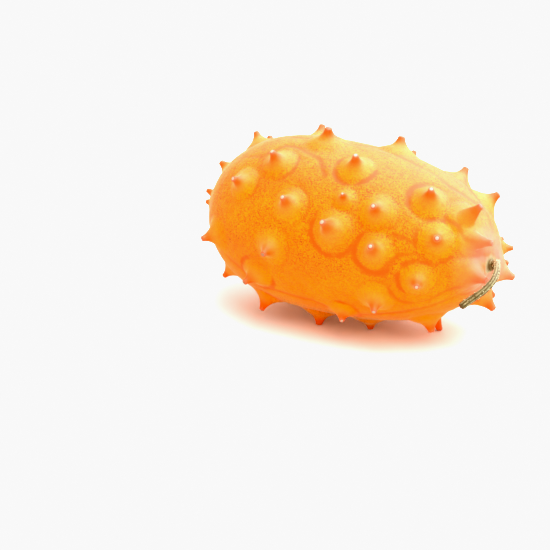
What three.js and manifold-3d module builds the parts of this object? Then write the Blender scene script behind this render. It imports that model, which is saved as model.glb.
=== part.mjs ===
// A horned melon, lying on its side: one fruit whose skin rises into bosses and blunt horns, and the
// short bent stalk that it was cut from the vine with. Millimetres and degrees, +Z up.
//
// The fruit is shaped in a frame of its own: the origin is its centre, +X runs along it to the stem end,
// and an angle of 0 on its skin is the top, 90 the front (-Y), 180 the bottom and 270 the back.
// The part's own origin is the middle of its bounding box, on the surface that it lies on.
import * as THREE from "three";
import { mergeVertices } from "three/addons/utils/BufferGeometryUtils.js";
import Module from "manifold-3d";

// Fruit
const FRUIT_LENGTH = 122;
const FRUIT_WIDTH = 66;
const BLOSSOM_POWER = 2.8; // 2 makes an end an ellipse, and more makes it blunter
const STEM_POWER = 2.5;
const STEM_TAPER = 0.075; // the share by which the stem end is slimmer than the middle
const REST_HEIGHT = 37.5; // from the surface that it lies on up to the fruit's axis
const SKIN_DETAIL = 13; // how often each edge of the icosahedron under the skin is cut

// A horn's parts, as shares of its size. That is its height from the bare skin to its tip unless its
// place gives another, and at most LARGEST_SIZE, so that the tallest horns aren't fatter too.
const LARGEST_SIZE = 8.5;
const BOSS_REACH = 1.15; // radius of the boss that the horn stands on
const BOSS_HEIGHT = 0.25;
const HORN_FOOT = -0.05; // level of its widest ring, a little under the bare skin
const HORN_FOOT_RADIUS = 0.85;
const HORN_TIP_RADIUS = 0.16;
const HORN_WAIST_POWER = 2; // more makes the sides more hollow
const HORN_SIDES = 8;
const HORN_RINGS = [0, 0.3, 0.65]; // heights of its rings, as shares of the way from its foot to its tip
const HORN_SHOULDER = 0.93; // the ring where the blunt tip starts to round over
const HORN_ROOT = [3, 0.5]; // mm that it runs down into the flesh, and its radius there

// The horns of the side that faces up and to the front, in rows along the fruit. Each has its station
// along the fruit and its angle round it, its height, how far its tip leans to the stem end and up, and
// its size where that isn't its height.
const ROWS = {
  crest: [
    [-47, 346, 6, 0, 1, 6.7],
    [-11, 3, 6.6, 1.4, -1, 8],
    [13, 340, 6.3, -0.5, -0.5, 8],
    [35, 318, 6.5, -1.7, 0.5, 7.3],
    [47, 312, 7, 1.2, -0.7, 7.8],
  ],
  shoulder: [
    [-58, 350, 6.3, 0.5, -0.5, 7],
    [-34, 52, 6.5, 0.5, -1],
    [-22, 34, 7, 0, 0],
    [9, 25, 7, 1, 0],
    [40, 30, 7.3, -0.8, 0.2, 7],
    [52, 27, 7.8, 1.3, 4.1, 7.5],
  ],
  flank: [
    [-60, 49, 4.6, -1, 1, 5.5],
    [-10, 62, 7, 0, 2],
    [11, 50, 4.5, 0.5, 0.5],
    [10, 72, 8, -1.5, 3],
    [25, 53, 7, -0.5, 0],
    [27, 81, 7, 0, 3.5],
    [47, 63, 7, -1, 0.5],
    [56, 48, 8, 4.8, 0.4, 7.4],
  ],
  belly: [
    [-60, 76, 3.6, -1.5, 0, 5.5],
    [9, 138, 5, 1.9, 1.6, 6],
    [26, 118, 7, 1, -0.5],
    [42, 101, 6.5, 0, 0.5],
    [57, 105, 8, 2.7, 0.2],
    [11, 172, 5, -1, -1.5, 7.4],
    [37, 167, 6.1, 0, 0, 7.3],
  ],
  crown: [
    [45, 264, 9, -1.8, 0.4, 6.5],
    [54, 264, 6.3, -1.6, 0.3, 6],
    [48, 247, 8.8, 0.8, 0, 7.4],
    [58, 226, 7.2, 0, 0, 7.8],
    [47, 219, 9, -0.5, -0.2],
    [54, 188, 8.2, 0, 0],
  ],
  crestBack: [
    [-47, 323, 6.8, 0, 0],
    [-28, 323, 7.4, 0, 0],
    [9, 311, 6.5, 0, 0],
  ],
};

// The three horns that it stands on, round its weight. Each reaches FOOT_BITE below the surface that it
// lies on before it is cut off flat there: [station, angle].
const FEET = [
  [-9, 165],
  [30, 196],
  [-31, 193],
];
const FOOT_BITE = 0.45;
const FOOT_SIZE = 7.5;
const FLOOR_CLEARANCE = 0.6; // the least that any other horn stays above that surface

// The rest of the skin is filled with horns one by one, each as far as can be from all before it.
const FILL_AREAS = [
  { station: [-59, 44], angle: [200, 318] },
  { station: [-59, -14], angle: [86, 200] },
];
const FILL_GAP = 15.2; // filling ends when no tried place is this far from its neighbours
const FILL_TRIES = 90;
const FILL_HEIGHT = [5.8, 7.6];
const FILL_LEAN = 1.2;
const FILL_SEED = 20261;

// Stalk
const STALK_RADIUS = 1.25;
const STALK_SIDES = 10;
const STALK_STEPS = 30;
const STALK_ROUTE = [
  [62.2, -3.4, -1.3],
  [63.5, -4.2, -0.3],
  [64.8, -6.4, 1.5],
  [66.7, -9.3, 1.2],
  [68.1, -12.8, -0.4],
  [68.4, -16.4, -2.5],
  [66.4, -18.9, -5.4],
  [63, -19.5, -8.5],
  [57.7, -18.6, -13.1],
];
const COLLAR_PROFILE = [ // [radius, distance from the skin]
  [0, 0],
  [2.5, 0],
  [2.3, 0.5],
  [1.6, 1.3],
  [1.3, 2.4],
  [0, 2.4],
];
const COLLAR_SIDES = 12;
const PIECE_GAP = 0.35; // between the stalk's collar and the skin

const RIND = new THREE.MeshStandardMaterial({ color: 0xf59a28, roughness: 0.42, metalness: 0 });
const DRY_STALK = new THREE.MeshStandardMaterial({ color: 0x8f8a5c, roughness: 0.85, metalness: 0 });

const wasm = await Module();
wasm.setup();

// A point of the bare skin, with the directions out of it, along it to the stem end, and up round it.
function skinAt(station, degrees) {
  const share = station / (FRUIT_LENGTH / 2);
  const angle = THREE.MathUtils.degToRad(degrees);
  const power = share > 0 ? STEM_POWER : BLOSSOM_POWER;
  const round = Math.max(0, 1 - Math.abs(share) ** power);
  const taper = 1 - STEM_TAPER * share;
  const radius = (FRUIT_WIDTH / 2) * Math.sqrt(round) * taper;
  const outward = new THREE.Vector3(0, -Math.sin(angle), Math.cos(angle));
  const up = new THREE.Vector3(0, Math.cos(angle), Math.sin(angle));
  const point = outward.clone().multiplyScalar(radius).setX(station);

  const endPull = power * Math.abs(share) ** (power - 1) * Math.sign(share);
  const lengthways = (endPull + (2 * round * STEM_TAPER) / taper) / (FRUIT_LENGTH / 2);
  const sideways = (2 * Math.sqrt(round)) / ((FRUIT_WIDTH / 2) * taper);
  const normal = outward.multiplyScalar(sideways).setX(lengthways).normalize();
  const along = new THREE.Vector3().crossVectors(up, normal).normalize();
  if (along.x < 0) along.negate();
  return { point, normal, along, up };
}

// A horn from its place, height, lean and size: where it stands, the way out of the skin there, and its
// axis from there to its tip.
function hornAt([station, degrees, height, leanAlong, leanUp, size = height]) {
  const { point, normal, along, up } = skinAt(station, degrees);
  const axis = normal.clone().multiplyScalar(height);
  axis.addScaledVector(along, leanAlong).addScaledVector(up, leanUp);
  return { point, normal, axis, size: Math.min(size, LARGEST_SIZE) };
}

// A foot is as tall as it has to be to bite into the surface that the fruit lies on.
function footAt([station, degrees]) {
  const { point, normal } = skinAt(station, degrees);
  const height = (-REST_HEIGHT - FOOT_BITE - point.z) / normal.z;
  return hornAt([station, degrees, height, 0, 0, FOOT_SIZE]);
}

// A number from 0 to 1 at each call, the same ones in the same order on every run.
function seededDraw(seed) {
  let state = seed;
  return () => {
    state = (state * 1664525 + 1013904223) % 4294967296;
    return state / 4294967296;
  };
}

function isInFillArea(station, degrees) {
  return FILL_AREAS.some(
    (area) =>
      station > area.station[0] && station < area.station[1] &&
      degrees > area.angle[0] && degrees < area.angle[1],
  );
}

// Adds horns to the areas that no row covers, and keeps the low ones off the surface underneath.
function fillHorns(horns) {
  const draw = seededDraw(FILL_SEED);
  const [least, most] = FILL_HEIGHT;
  for (;;) {
    let best = null;
    let bestGap = FILL_GAP;
    for (let i = 0; i < FILL_TRIES; i++) {
      const station = (draw() - 0.5) * FRUIT_LENGTH;
      const degrees = draw() * 360;
      if (!isInFillArea(station, degrees)) continue;
      const { point } = skinAt(station, degrees);
      const gap = Math.min(...horns.map((horn) => horn.point.distanceTo(point)));
      if (gap > bestGap) {
        bestGap = gap;
        best = [station, degrees];
      }
    }
    if (!best) return;
    const height = least + (most - least) * draw();
    const leanAlong = (draw() - 0.5) * 2 * FILL_LEAN;
    const leanUp = (draw() - 0.5) * 2 * FILL_LEAN;
    const { point, normal } = skinAt(...best);
    const room = REST_HEIGHT - FLOOR_CLEARANCE + point.z - Math.abs(leanUp);
    const tallest = normal.z < 0 ? room / -normal.z : most;
    horns.push(hornAt([...best, Math.min(height, tallest), leanAlong, leanUp]));
  }
}

function allHorns() {
  const horns = [...Object.values(ROWS).flat().map(hornAt), ...FEET.map(footAt)];
  fillHorns(horns);
  return horns;
}

// How far the bosses lift the skin at a point of it. Bosses that meet run into each other smoothly.
function bossLift(point, horns) {
  let sum = 0;
  for (const horn of horns) {
    const share = point.distanceTo(horn.point) / (BOSS_REACH * horn.size);
    if (share < 1) sum += (BOSS_HEIGHT * horn.size * (1 - share ** 3) ** 2) ** 4;
  }
  return sum ** 0.25;
}

function solidOf(geometry) {
  const bare = geometry.clone().deleteAttribute("normal").deleteAttribute("uv");
  const merged = mergeVertices(bare, 1e-3);
  const vertProperties = new Float32Array(merged.attributes.position.array);
  const triVerts = new Uint32Array(merged.index.array);
  return new wasm.Manifold(new wasm.Mesh({ numProp: 3, vertProperties, triVerts }));
}

function geometryOf(solid) {
  const mesh = solid.getMesh();
  return new THREE.BufferGeometry()
    .setAttribute("position", new THREE.BufferAttribute(mesh.vertProperties, 3))
    .setIndex(new THREE.BufferAttribute(mesh.triVerts, 1));
}

// The skin with its bosses: a ball of even triangles, drawn out to the fruit's shape.
function skinGeometry(horns) {
  const geometry = new THREE.IcosahedronGeometry(1, SKIN_DETAIL);
  const places = geometry.attributes.position;
  const ball = new THREE.Vector3();
  for (let i = 0; i < places.count; i++) {
    ball.fromBufferAttribute(places, i);
    const degrees = THREE.MathUtils.radToDeg(Math.atan2(-ball.y, ball.z));
    const { point, normal } = skinAt(ball.x * (FRUIT_LENGTH / 2), degrees);
    point.addScaledVector(normal, bossLift(point, horns));
    places.setXYZ(i, point.x, point.y, point.z);
  }
  return geometry;
}

// One horn: a hollow-sided cone with a blunt round tip, rooted below the skin. Its rings lie along the
// skin at its foot and square to its axis at its tip.
function hornGeometry({ point, normal, axis, size }) {
  const foot = HORN_FOOT * size;
  const tip = HORN_TIP_RADIUS * size;
  const length = axis.length();
  const spread = HORN_FOOT_RADIUS * size - tip;
  const radiusAt = (share) => tip + spread * (1 - share) ** HORN_WAIST_POWER;
  const levelAt = (share) => foot + (length - foot) * share;
  const [depth, rootRadius] = HORN_ROOT;
  const profile = [
    new THREE.Vector2(0, -depth),
    new THREE.Vector2(rootRadius * size, -depth),
    ...[...HORN_RINGS, HORN_SHOULDER].map((share) => new THREE.Vector2(radiusAt(share), levelAt(share))),
    new THREE.Vector2(tip * 0.6, levelAt(1)),
    new THREE.Vector2(0, levelAt(1)),
  ];
  const geometry = new THREE.LatheGeometry(profile, HORN_SIDES);
  const places = geometry.attributes.position;
  const up = new THREE.Vector3(0, 1, 0);
  const direction = axis.clone().normalize();
  const place = new THREE.Vector3();
  for (let i = 0; i < places.count; i++) {
    place.fromBufferAttribute(places, i);
    const level = place.y;
    const share = THREE.MathUtils.clamp(level / length, 0, 1);
    const facing = normal.clone().lerp(direction, share).normalize();
    place.setY(0).applyQuaternion(new THREE.Quaternion().setFromUnitVectors(up, facing));
    place.addScaledVector(direction, level).add(point);
    places.setXYZ(i, place.x, place.y, place.z);
  }
  return geometry;
}

// Everything under the surface that the fruit lies on, which cuts the feet off flat.
function groundGeometry() {
  const depth = 20;
  const ground = new THREE.BoxGeometry(2 * FRUIT_LENGTH, 2 * FRUIT_LENGTH, depth);
  return ground.translate(0, 0, -REST_HEIGHT - depth / 2);
}

// The shallow flat-bottomed socket in the stem end that the stalk's collar sits in.
function socketGeometry() {
  const depth = 4;
  const radius = COLLAR_PROFILE[1][0] + PIECE_GAP;
  const [, seatY, seatZ] = STALK_ROUTE[0];
  return new THREE.CylinderGeometry(radius, radius, depth, 2 * COLLAR_SIDES)
    .rotateZ(-Math.PI / 2)
    .translate(FRUIT_LENGTH / 2 + depth / 2, seatY, seatZ);
}

function fruitGeometry() {
  const horns = allHorns();
  const grown = horns.reduce(
    (solid, horn) => solid.add(solidOf(hornGeometry(horn))),
    solidOf(skinGeometry(horns)),
  );
  return geometryOf(grown.subtract(solidOf(groundGeometry())).subtract(solidOf(socketGeometry())));
}

// The stalk: a bent rod that grows out of a flared collar on the blunt stem end.
function stalkGeometry() {
  const route = new THREE.CatmullRomCurve3(STALK_ROUTE.map((place) => new THREE.Vector3(...place)));
  const section = new THREE.Shape();
  section.absarc(0, 0, STALK_RADIUS, 0, 2 * Math.PI);
  const rod = new THREE.ExtrudeGeometry(section, {
    extrudePath: route,
    steps: STALK_STEPS,
    curveSegments: STALK_SIDES / 2,
  });
  const profile = COLLAR_PROFILE.map(([radius, level]) => new THREE.Vector2(radius, level));
  const [, seatY, seatZ] = STALK_ROUTE[0];
  const collar = new THREE.LatheGeometry(profile, COLLAR_SIDES)
    .rotateZ(-Math.PI / 2)
    .translate(FRUIT_LENGTH / 2 + PIECE_GAP, seatY, seatZ);
  return geometryOf(solidOf(rod).add(solidOf(collar)));
}

function piece(name, geometry, material) {
  const mesh = new THREE.Mesh(geometry, material);
  mesh.name = name;
  return mesh;
}

const melon = new THREE.Group();
melon.add(piece("fruit", fruitGeometry(), RIND));
melon.add(piece("stalk", stalkGeometry(), DRY_STALK));
const middle = new THREE.Box3().setFromObject(melon).getCenter(new THREE.Vector3());
melon.position.set(-middle.x, -middle.y, REST_HEIGHT);

export default melon;
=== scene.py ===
"""A horned melon on a pale floor: one ripe fruit with bosses and blunt horns, and its dry stalk."""

import math
from collections import namedtuple
from itertools import accumulate

import bmesh
import bpy
import numpy as np
from bpy.props import FloatProperty, FloatVectorProperty, IntProperty, PointerProperty
from mathutils import Matrix, Vector, noise
from mathutils.geometry import interpolate_bezier
from mathutils.kdtree import KDTree


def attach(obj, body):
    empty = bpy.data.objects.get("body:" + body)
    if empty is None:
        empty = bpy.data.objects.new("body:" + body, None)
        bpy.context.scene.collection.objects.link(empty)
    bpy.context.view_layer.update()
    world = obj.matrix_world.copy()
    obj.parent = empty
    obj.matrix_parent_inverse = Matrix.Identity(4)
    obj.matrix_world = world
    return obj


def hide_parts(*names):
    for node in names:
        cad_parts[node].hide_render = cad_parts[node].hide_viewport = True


bl_info = {
    "name": "Horned Melon",
    "version": (1, 0, 0),
    "blender": (4, 5, 0),
    "location": "3D View > Sidebar > Horned Melon",
    "description": "Builds a horned melon with its bosses, horns and stalk, and a floor to show it on",
    "category": "Add Mesh",
}

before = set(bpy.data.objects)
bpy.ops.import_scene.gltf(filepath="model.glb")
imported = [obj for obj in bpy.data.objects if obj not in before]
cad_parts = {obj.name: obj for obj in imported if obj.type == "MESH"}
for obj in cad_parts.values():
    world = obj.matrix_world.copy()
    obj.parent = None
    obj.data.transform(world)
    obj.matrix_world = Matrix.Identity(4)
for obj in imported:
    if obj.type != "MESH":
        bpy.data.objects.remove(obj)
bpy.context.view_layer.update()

MM = 0.001  # sizes below are in millimetres, and a finished piece is in metres
TINY = 1e-9

# The factor, step and range of the drawn numbers.
DRAWN = (1664525, 1013904223, 2 ** 32)

# The fruit is shaped in a frame of its own, in millimetres: the origin is its centre, +X runs to the
# stem end, and an angle of 0 on its skin is the top, 90 the front, 180 the bottom and 270 the back.
FRUIT_CENTRE = (-2.451, 0.806, 37.5)  # where that origin stands over the middle of the CAD box
REST_HEIGHT = FRUIT_CENTRE[2]
BLOSSOM_POWER = 2.8  # 2 makes an end an ellipse, and more makes it blunter
STEM_POWER = 2.5
STEM_TAPER = 0.075  # the share by which the stem end is slimmer than the middle

# A horn's parts, as shares of its size.
LARGEST_SIZE = 8.5
HORN_FOOT = -0.05  # level of its widest ring, a little under the bare skin
HORN_WAIST_POWER = 2  # more makes the sides more hollow
HORN_START = 0.26  # level from which it takes its own colour
HORN_SHOULDER = 0.93
TIP_SQUARENESS = 0.72  # 1 rounds the tip like a ball, and less makes it blunter
SCAR_SHARE = 0.66  # the pearly scar's radius, as a share of the tip's
SCAR_RISE = 0.11
ROOT_SOFTNESS = 0.07  # how softly the horn's side runs into the boss
TIP_DROP_POWER = 8  # more keeps the drop of the tip closer to its end
APRON_REACH = 0.8  # how far from its middle a horn shapes the skin
APRON_EDGE = (0.55, 0.98)  # shares of the apron over which the horn runs out into the skin
OUTLINE_POINTS = (24, 90, 24)  # over its tip, down its side and out along its apron
PULL_ROUNDS = 4
SAME_SPOT = 1e-4
BOSS_MERGE = 4  # more makes a sharper crease where bosses meet
DULL_PEARL = 0.4  # the most pearl in a dull scar

# Horns in rows along the fruit: station along it, angle round it, height, how far the tip leans to the
# stem end and to smaller angles, and the horn's size if that isn't its height.
ROWS = {
    "crest": [
        (-47, 346, 6, 0, 1, 6.7), (-11, 3, 6.6, 1.4, -1, 8), (13, 340, 6.3, -0.5, -0.5, 8),
        (35, 318, 6.5, -1.7, 0.5, 7.3), (47, 312, 7, 1.2, -0.7, 7.8),
    ],
    "shoulder": [
        (-58, 350, 6.3, 0.5, -0.5, 7), (-34, 52, 6.5, 0.5, -1), (-22, 34, 7, 0, 0), (9, 25, 7, 1, 0),
        (40, 30, 7.3, -0.8, 0.2, 7), (52, 27, 7.8, 1.3, 4.1, 7.5),
    ],
    "flank": [
        (-60, 49, 4.6, -1, 1, 5.5), (-10, 62, 7, 0, 2), (11, 50, 4.5, 0.5, 0.5), (10, 72, 8, -1.5, 3),
        (25, 53, 7, -0.5, 0), (27, 81, 7, 0, 3.5), (47, 63, 7, -1, 0.5), (56, 48, 8, 4.8, 0.4, 7.4),
    ],
    "belly": [
        (-60, 76, 3.6, -1.5, 0, 5.5), (9, 138, 5, 1.9, 1.6, 6), (26, 118, 7, 1, -0.5),
        (42, 101, 6.5, 0, 0.5), (57, 105, 8, 2.7, 0.2), (11, 172, 5, -1, -1.5, 7.4),
        (37, 167, 6.1, 0, 0, 7.3),
    ],
    "crown": [
        (45, 264, 9, -1.8, 0.4, 6.5), (54, 264, 6.3, -1.6, 0.3, 6), (48, 247, 8.8, 0.8, 0, 7.4),
        (58, 226, 7.2, 0, 0, 7.8), (47, 219, 9, -0.5, -0.2), (54, 188, 8.2, 0, 0),
    ],
    "crest_back": [
        (-47, 323, 6.8, 0, 0), (-28, 323, 7.4, 0, 0), (9, 311, 6.5, 0, 0),
    ],
}

# The horns that it stands on, and the rule that fills the rest of the skin one horn at a time.
FEET = [(-9, 165), (30, 196), (-31, 193)]
FOOT_BITE = 0.45
FOOT_SIZE = 7.5
FLOOR_CLEARANCE = 0.6
FILL_AREAS = [((-59, 44), (200, 318)), ((-59, -14), (86, 200))]
FILL_GAP = 15.2
FILL_TRIES = 90
FILL_HEIGHT = (5.8, 7.6)
FILL_LEAN = 1.2
FILL_SEED = 20261

# The ring round a boss, by its horn's place: the side that shows most, in degrees from the stem end
# by way of smaller angles, how far it runs to each hand of that, and its strength.
RINGS = {
    (-47, 346): (0, 60, 0), (-11, 3): (0, 60, 0), (13, 340): (0, 60, 0), (-34, 52): (0, 60, 0.4),
    (-22, 34): (350, 60, 0.5), (9, 25): (265, 115, 0.75), (40, 30): (205, 115, 1),
    (52, 27): (205, 40, 0.8), (-10, 62): (20, 60, 0.4), (11, 50): (0, 60, 0),
    (10, 72): (250, 100, 0.6), (25, 53): (285, 85, 0.3), (27, 81): (225, 95, 1.1),
    (47, 63): (100, 180, 0.55), (56, 48): (180, 70, 0.45), (26, 118): (90, 60, 0.3),
    (42, 101): (140, 95, 0.8),
}
RING_RUN = (60, 150)  # of the other rings, drawn by rule
RING_STRENGTH = (0.2, 0.8)
RING_FADE = 25  # degrees to each hand of its end over which a ring fades out
RING_SHARPNESS = 9  # more makes the furrow under a ring narrower

# The horns whose scars are pearly. The others' are dull.
PALE_SCARS = {
    (-34, 52), (-22, 34), (9, 25), (40, 30), (-10, 62), (11, 50), (10, 72), (25, 53), (27, 81), (47, 63),
    (9, 138), (26, 118), (42, 101),
}

# Veins that run lengthways between the bosses to the stem end: station and angle.
VEINS = {
    "crest": [(-50, 2), (-35, 2), (-8, 1), (5, -8), (21, -4), (35, -2), (42, 1), (50, -6), (57, -20)],
    "crest_fork": [(38, -36), (46, -24), (54, -20), (59, -12)],
    "shoulder": [(-46, 26), (-32, 29), (-25, 16), (-18, 17), (-6, 24), (0, 38)],
    "flank": [(16, 92), (27, 98), (36, 81), (42, 79), (50, 81), (57, 72), (60, 78)],
    "flank_fork": [(33, 66), (37, 68), (43, 74), (47, 77)],
    "collar_fork": [(47, 39), (51, 42), (56, 60), (60, 72)],
    "belly": [(-40, 112), (-20, 128), (-2, 130), (9, 143), (16, 142), (25, 139), (34, 138), (44, 134),
              (52, 136), (58, 124)],
    "belly_fork": [(32, 109), (34, 121), (40, 126), (45, 125), (54, 118)],
    "under": [(-52, 170), (-24, 179), (0, 188), (20, 180), (40, 184), (56, 168)],
    "back_low": [(-54, 214), (-22, 222), (8, 212), (36, 205), (57, 206)],
    "back_middle": [(-57, 252), (-26, 262), (0, 249), (24, 257), (42, 240), (57, 246)],
    "back_high": [(-53, 304), (-30, 296), (0, 289), (20, 297), (40, 287), (58, 290)],
}
VEIN_STEP = 0.7
VEIN_WANDER = 1.1  # how far a vein strays from its route
VEIN_BEND = 9  # the length of its bends
VEIN_LAYER = 7.3  # between two veins' places in the noise
VEIN_SEED = 1  # without one, the veins stray another way on every run
FURROW_DEPTH = 0.1
FURROW_WIDTH = 1.1

# Rounds that split the skin's triangles: how far from a horn, by its size, and from the stalk's seat.
SPLITS = [(0.58, 4.64), (0.31, 4.34), (0.13, 0)]
SWELLS = [(0.22, 13), (0.09, 4)]  # depth and width of each kind of unevenness
RIPPLES = [(0.06, 1.9)]
HORN_RIPPLE = 0.5  # the share of the ripples that a horn takes away
FARTHEST = {"boss": 9.0, "tip": 6.0, "vein": 20.0, "seat": 60.0}  # the most that a reading says

# Stalk, in the fruit's frame: where the collar stands, and the route from there to the cut end.
SEAT = (60.9, -3.4, -1.3)
STALK_ROUTE = [
    SEAT,
    (62.2, -3.4, -1.3),
    (63.5, -4.2, -0.3),
    (64.8, -6.4, 1.5),
    (66.7, -9.3, 1.2),
    (68.1, -12.8, -0.4),
    (68.4, -16.4, -2.5),
    (66.4, -18.9, -5.4),
    (63, -19.5, -8.5),
    (57.7, -18.6, -13.1),
]
SEAT_PIT = (2.85, 5.2)  # radii over which the skin rises out of the flat seat under the collar
SEAT_FLOOR = 61
STEM_END = 50  # the station past which the seat lies
COLLAR = [(0, 1.9), (0.5, 1.65), (1.2, 1.35), (2.2, 1.15), (3.6, 1.06), (24, 1.28)]  # distance, radius
STALK_SIDES = 40
STALK_STEPS = 14  # between two points of the route
CLUB = (5, 0.5)  # distances from the cut end over which the stalk swells
CLUB_SWELL = 0.06
RIDGES_RISE = (0.6, 3.5)
RIDGE_HEIGHT = 0.075  # as a share of the radius, like the lumps'
RIDGES = [(1, 7, 0.22), (0.25, 2.3, 0.7)]  # share of that height, how many, and radians in a millimetre
LUMPS = [(0.05, 1, 0.9, 3), (0.12, 2.5, 2, 7)]  # all over, then on the collar: height, noise's steps
PITH = [(0.22, 0.0), (0.3, -0.14)]  # insets of the cut end: width and depth
RIM_BROWN = 0.6  # how far the cut's colour shows on its rim

# The spikes on the stalk: how many, from which to which share of the way along, and what is drawn.
WARTS = (84, 0.1, 0.97)
WART_LENGTH = (0.25, 0.5)
WART_RADIUS = (0.13, 0.24)
WART_LEAN = 0.25
WART_ROOT = 0.96  # of the stalk's radius
HAIRS = (150, 0.0, 0.16)
HAIR_LENGTH = (0.6, 1.3)
HAIR_RADIUS = (0.06, 0.12)
HAIR_LEAN = (-0.3, 0.9)
HAIR_ROOT = 0.9
HAIR_COLOUR = 0.03  # how far along the stalk hairs take theirs from
SPIKE_SIDES = 6
SPIKE_TAPER = 0.3
SPIKE_MIDDLE = 0.42  # under half sinks its root

Horn = namedtuple("Horn", "point normal axis size along up ring pearly")
Section = namedtuple("Section", "place tangent side across radius")


def millimetres(length):
    """A property's length in metres as a clean number of millimetres."""
    return round(length / MM, 4)


def linear(colour):
    """A colour as it is picked on screen, made ready for a shader."""
    parts = [part / 12.92 if part <= 0.04045 else ((part + 0.055) / 1.055) ** 2.4 for part in colour]
    return (*parts, 1.0)


def smooth_step(value, low, high):
    """0 up to low, 1 from high, and a smooth rise between them. Either may be the larger."""
    share = np.clip((value - low) / (high - low), 0, 1)
    return share * share * (3 - 2 * share)


def unit(vectors):
    return vectors / np.maximum(np.linalg.norm(vectors, axis=-1, keepdims=True), TINY)


class Draw:
    """Draws numbers, the same ones in the same order on every run."""

    def __init__(self, seed):
        self.state = seed

    def __call__(self, low=0.0, high=1.0):
        factor, step, limit = DRAWN
        self.state = (self.state * factor + step) % limit
        return low + (high - low) * self.state / limit


# ---- the fruit's form


def ring_over(point):
    """How a ring shows where no table says: its side, run and strength."""
    first, second, third = noise.cell_vector(Vector(point))
    run = RING_RUN[0] + (RING_RUN[1] - RING_RUN[0]) * second
    strength = RING_STRENGTH[0] + (RING_STRENGTH[1] - RING_STRENGTH[0]) * third
    return 360 * first, run, strength


def ring_strength(point, horn):
    """How strongly the horn's ring shows on the side of it where each point lies."""
    side, run, strength = horn.ring
    offset = point - horn.point
    angle = np.degrees(np.arctan2(offset @ horn.up, offset @ horn.along))
    turn = np.abs((angle - side + 180) % 360 - 180)
    return strength * smooth_step(turn, run + RING_FADE, run - RING_FADE)


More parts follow.
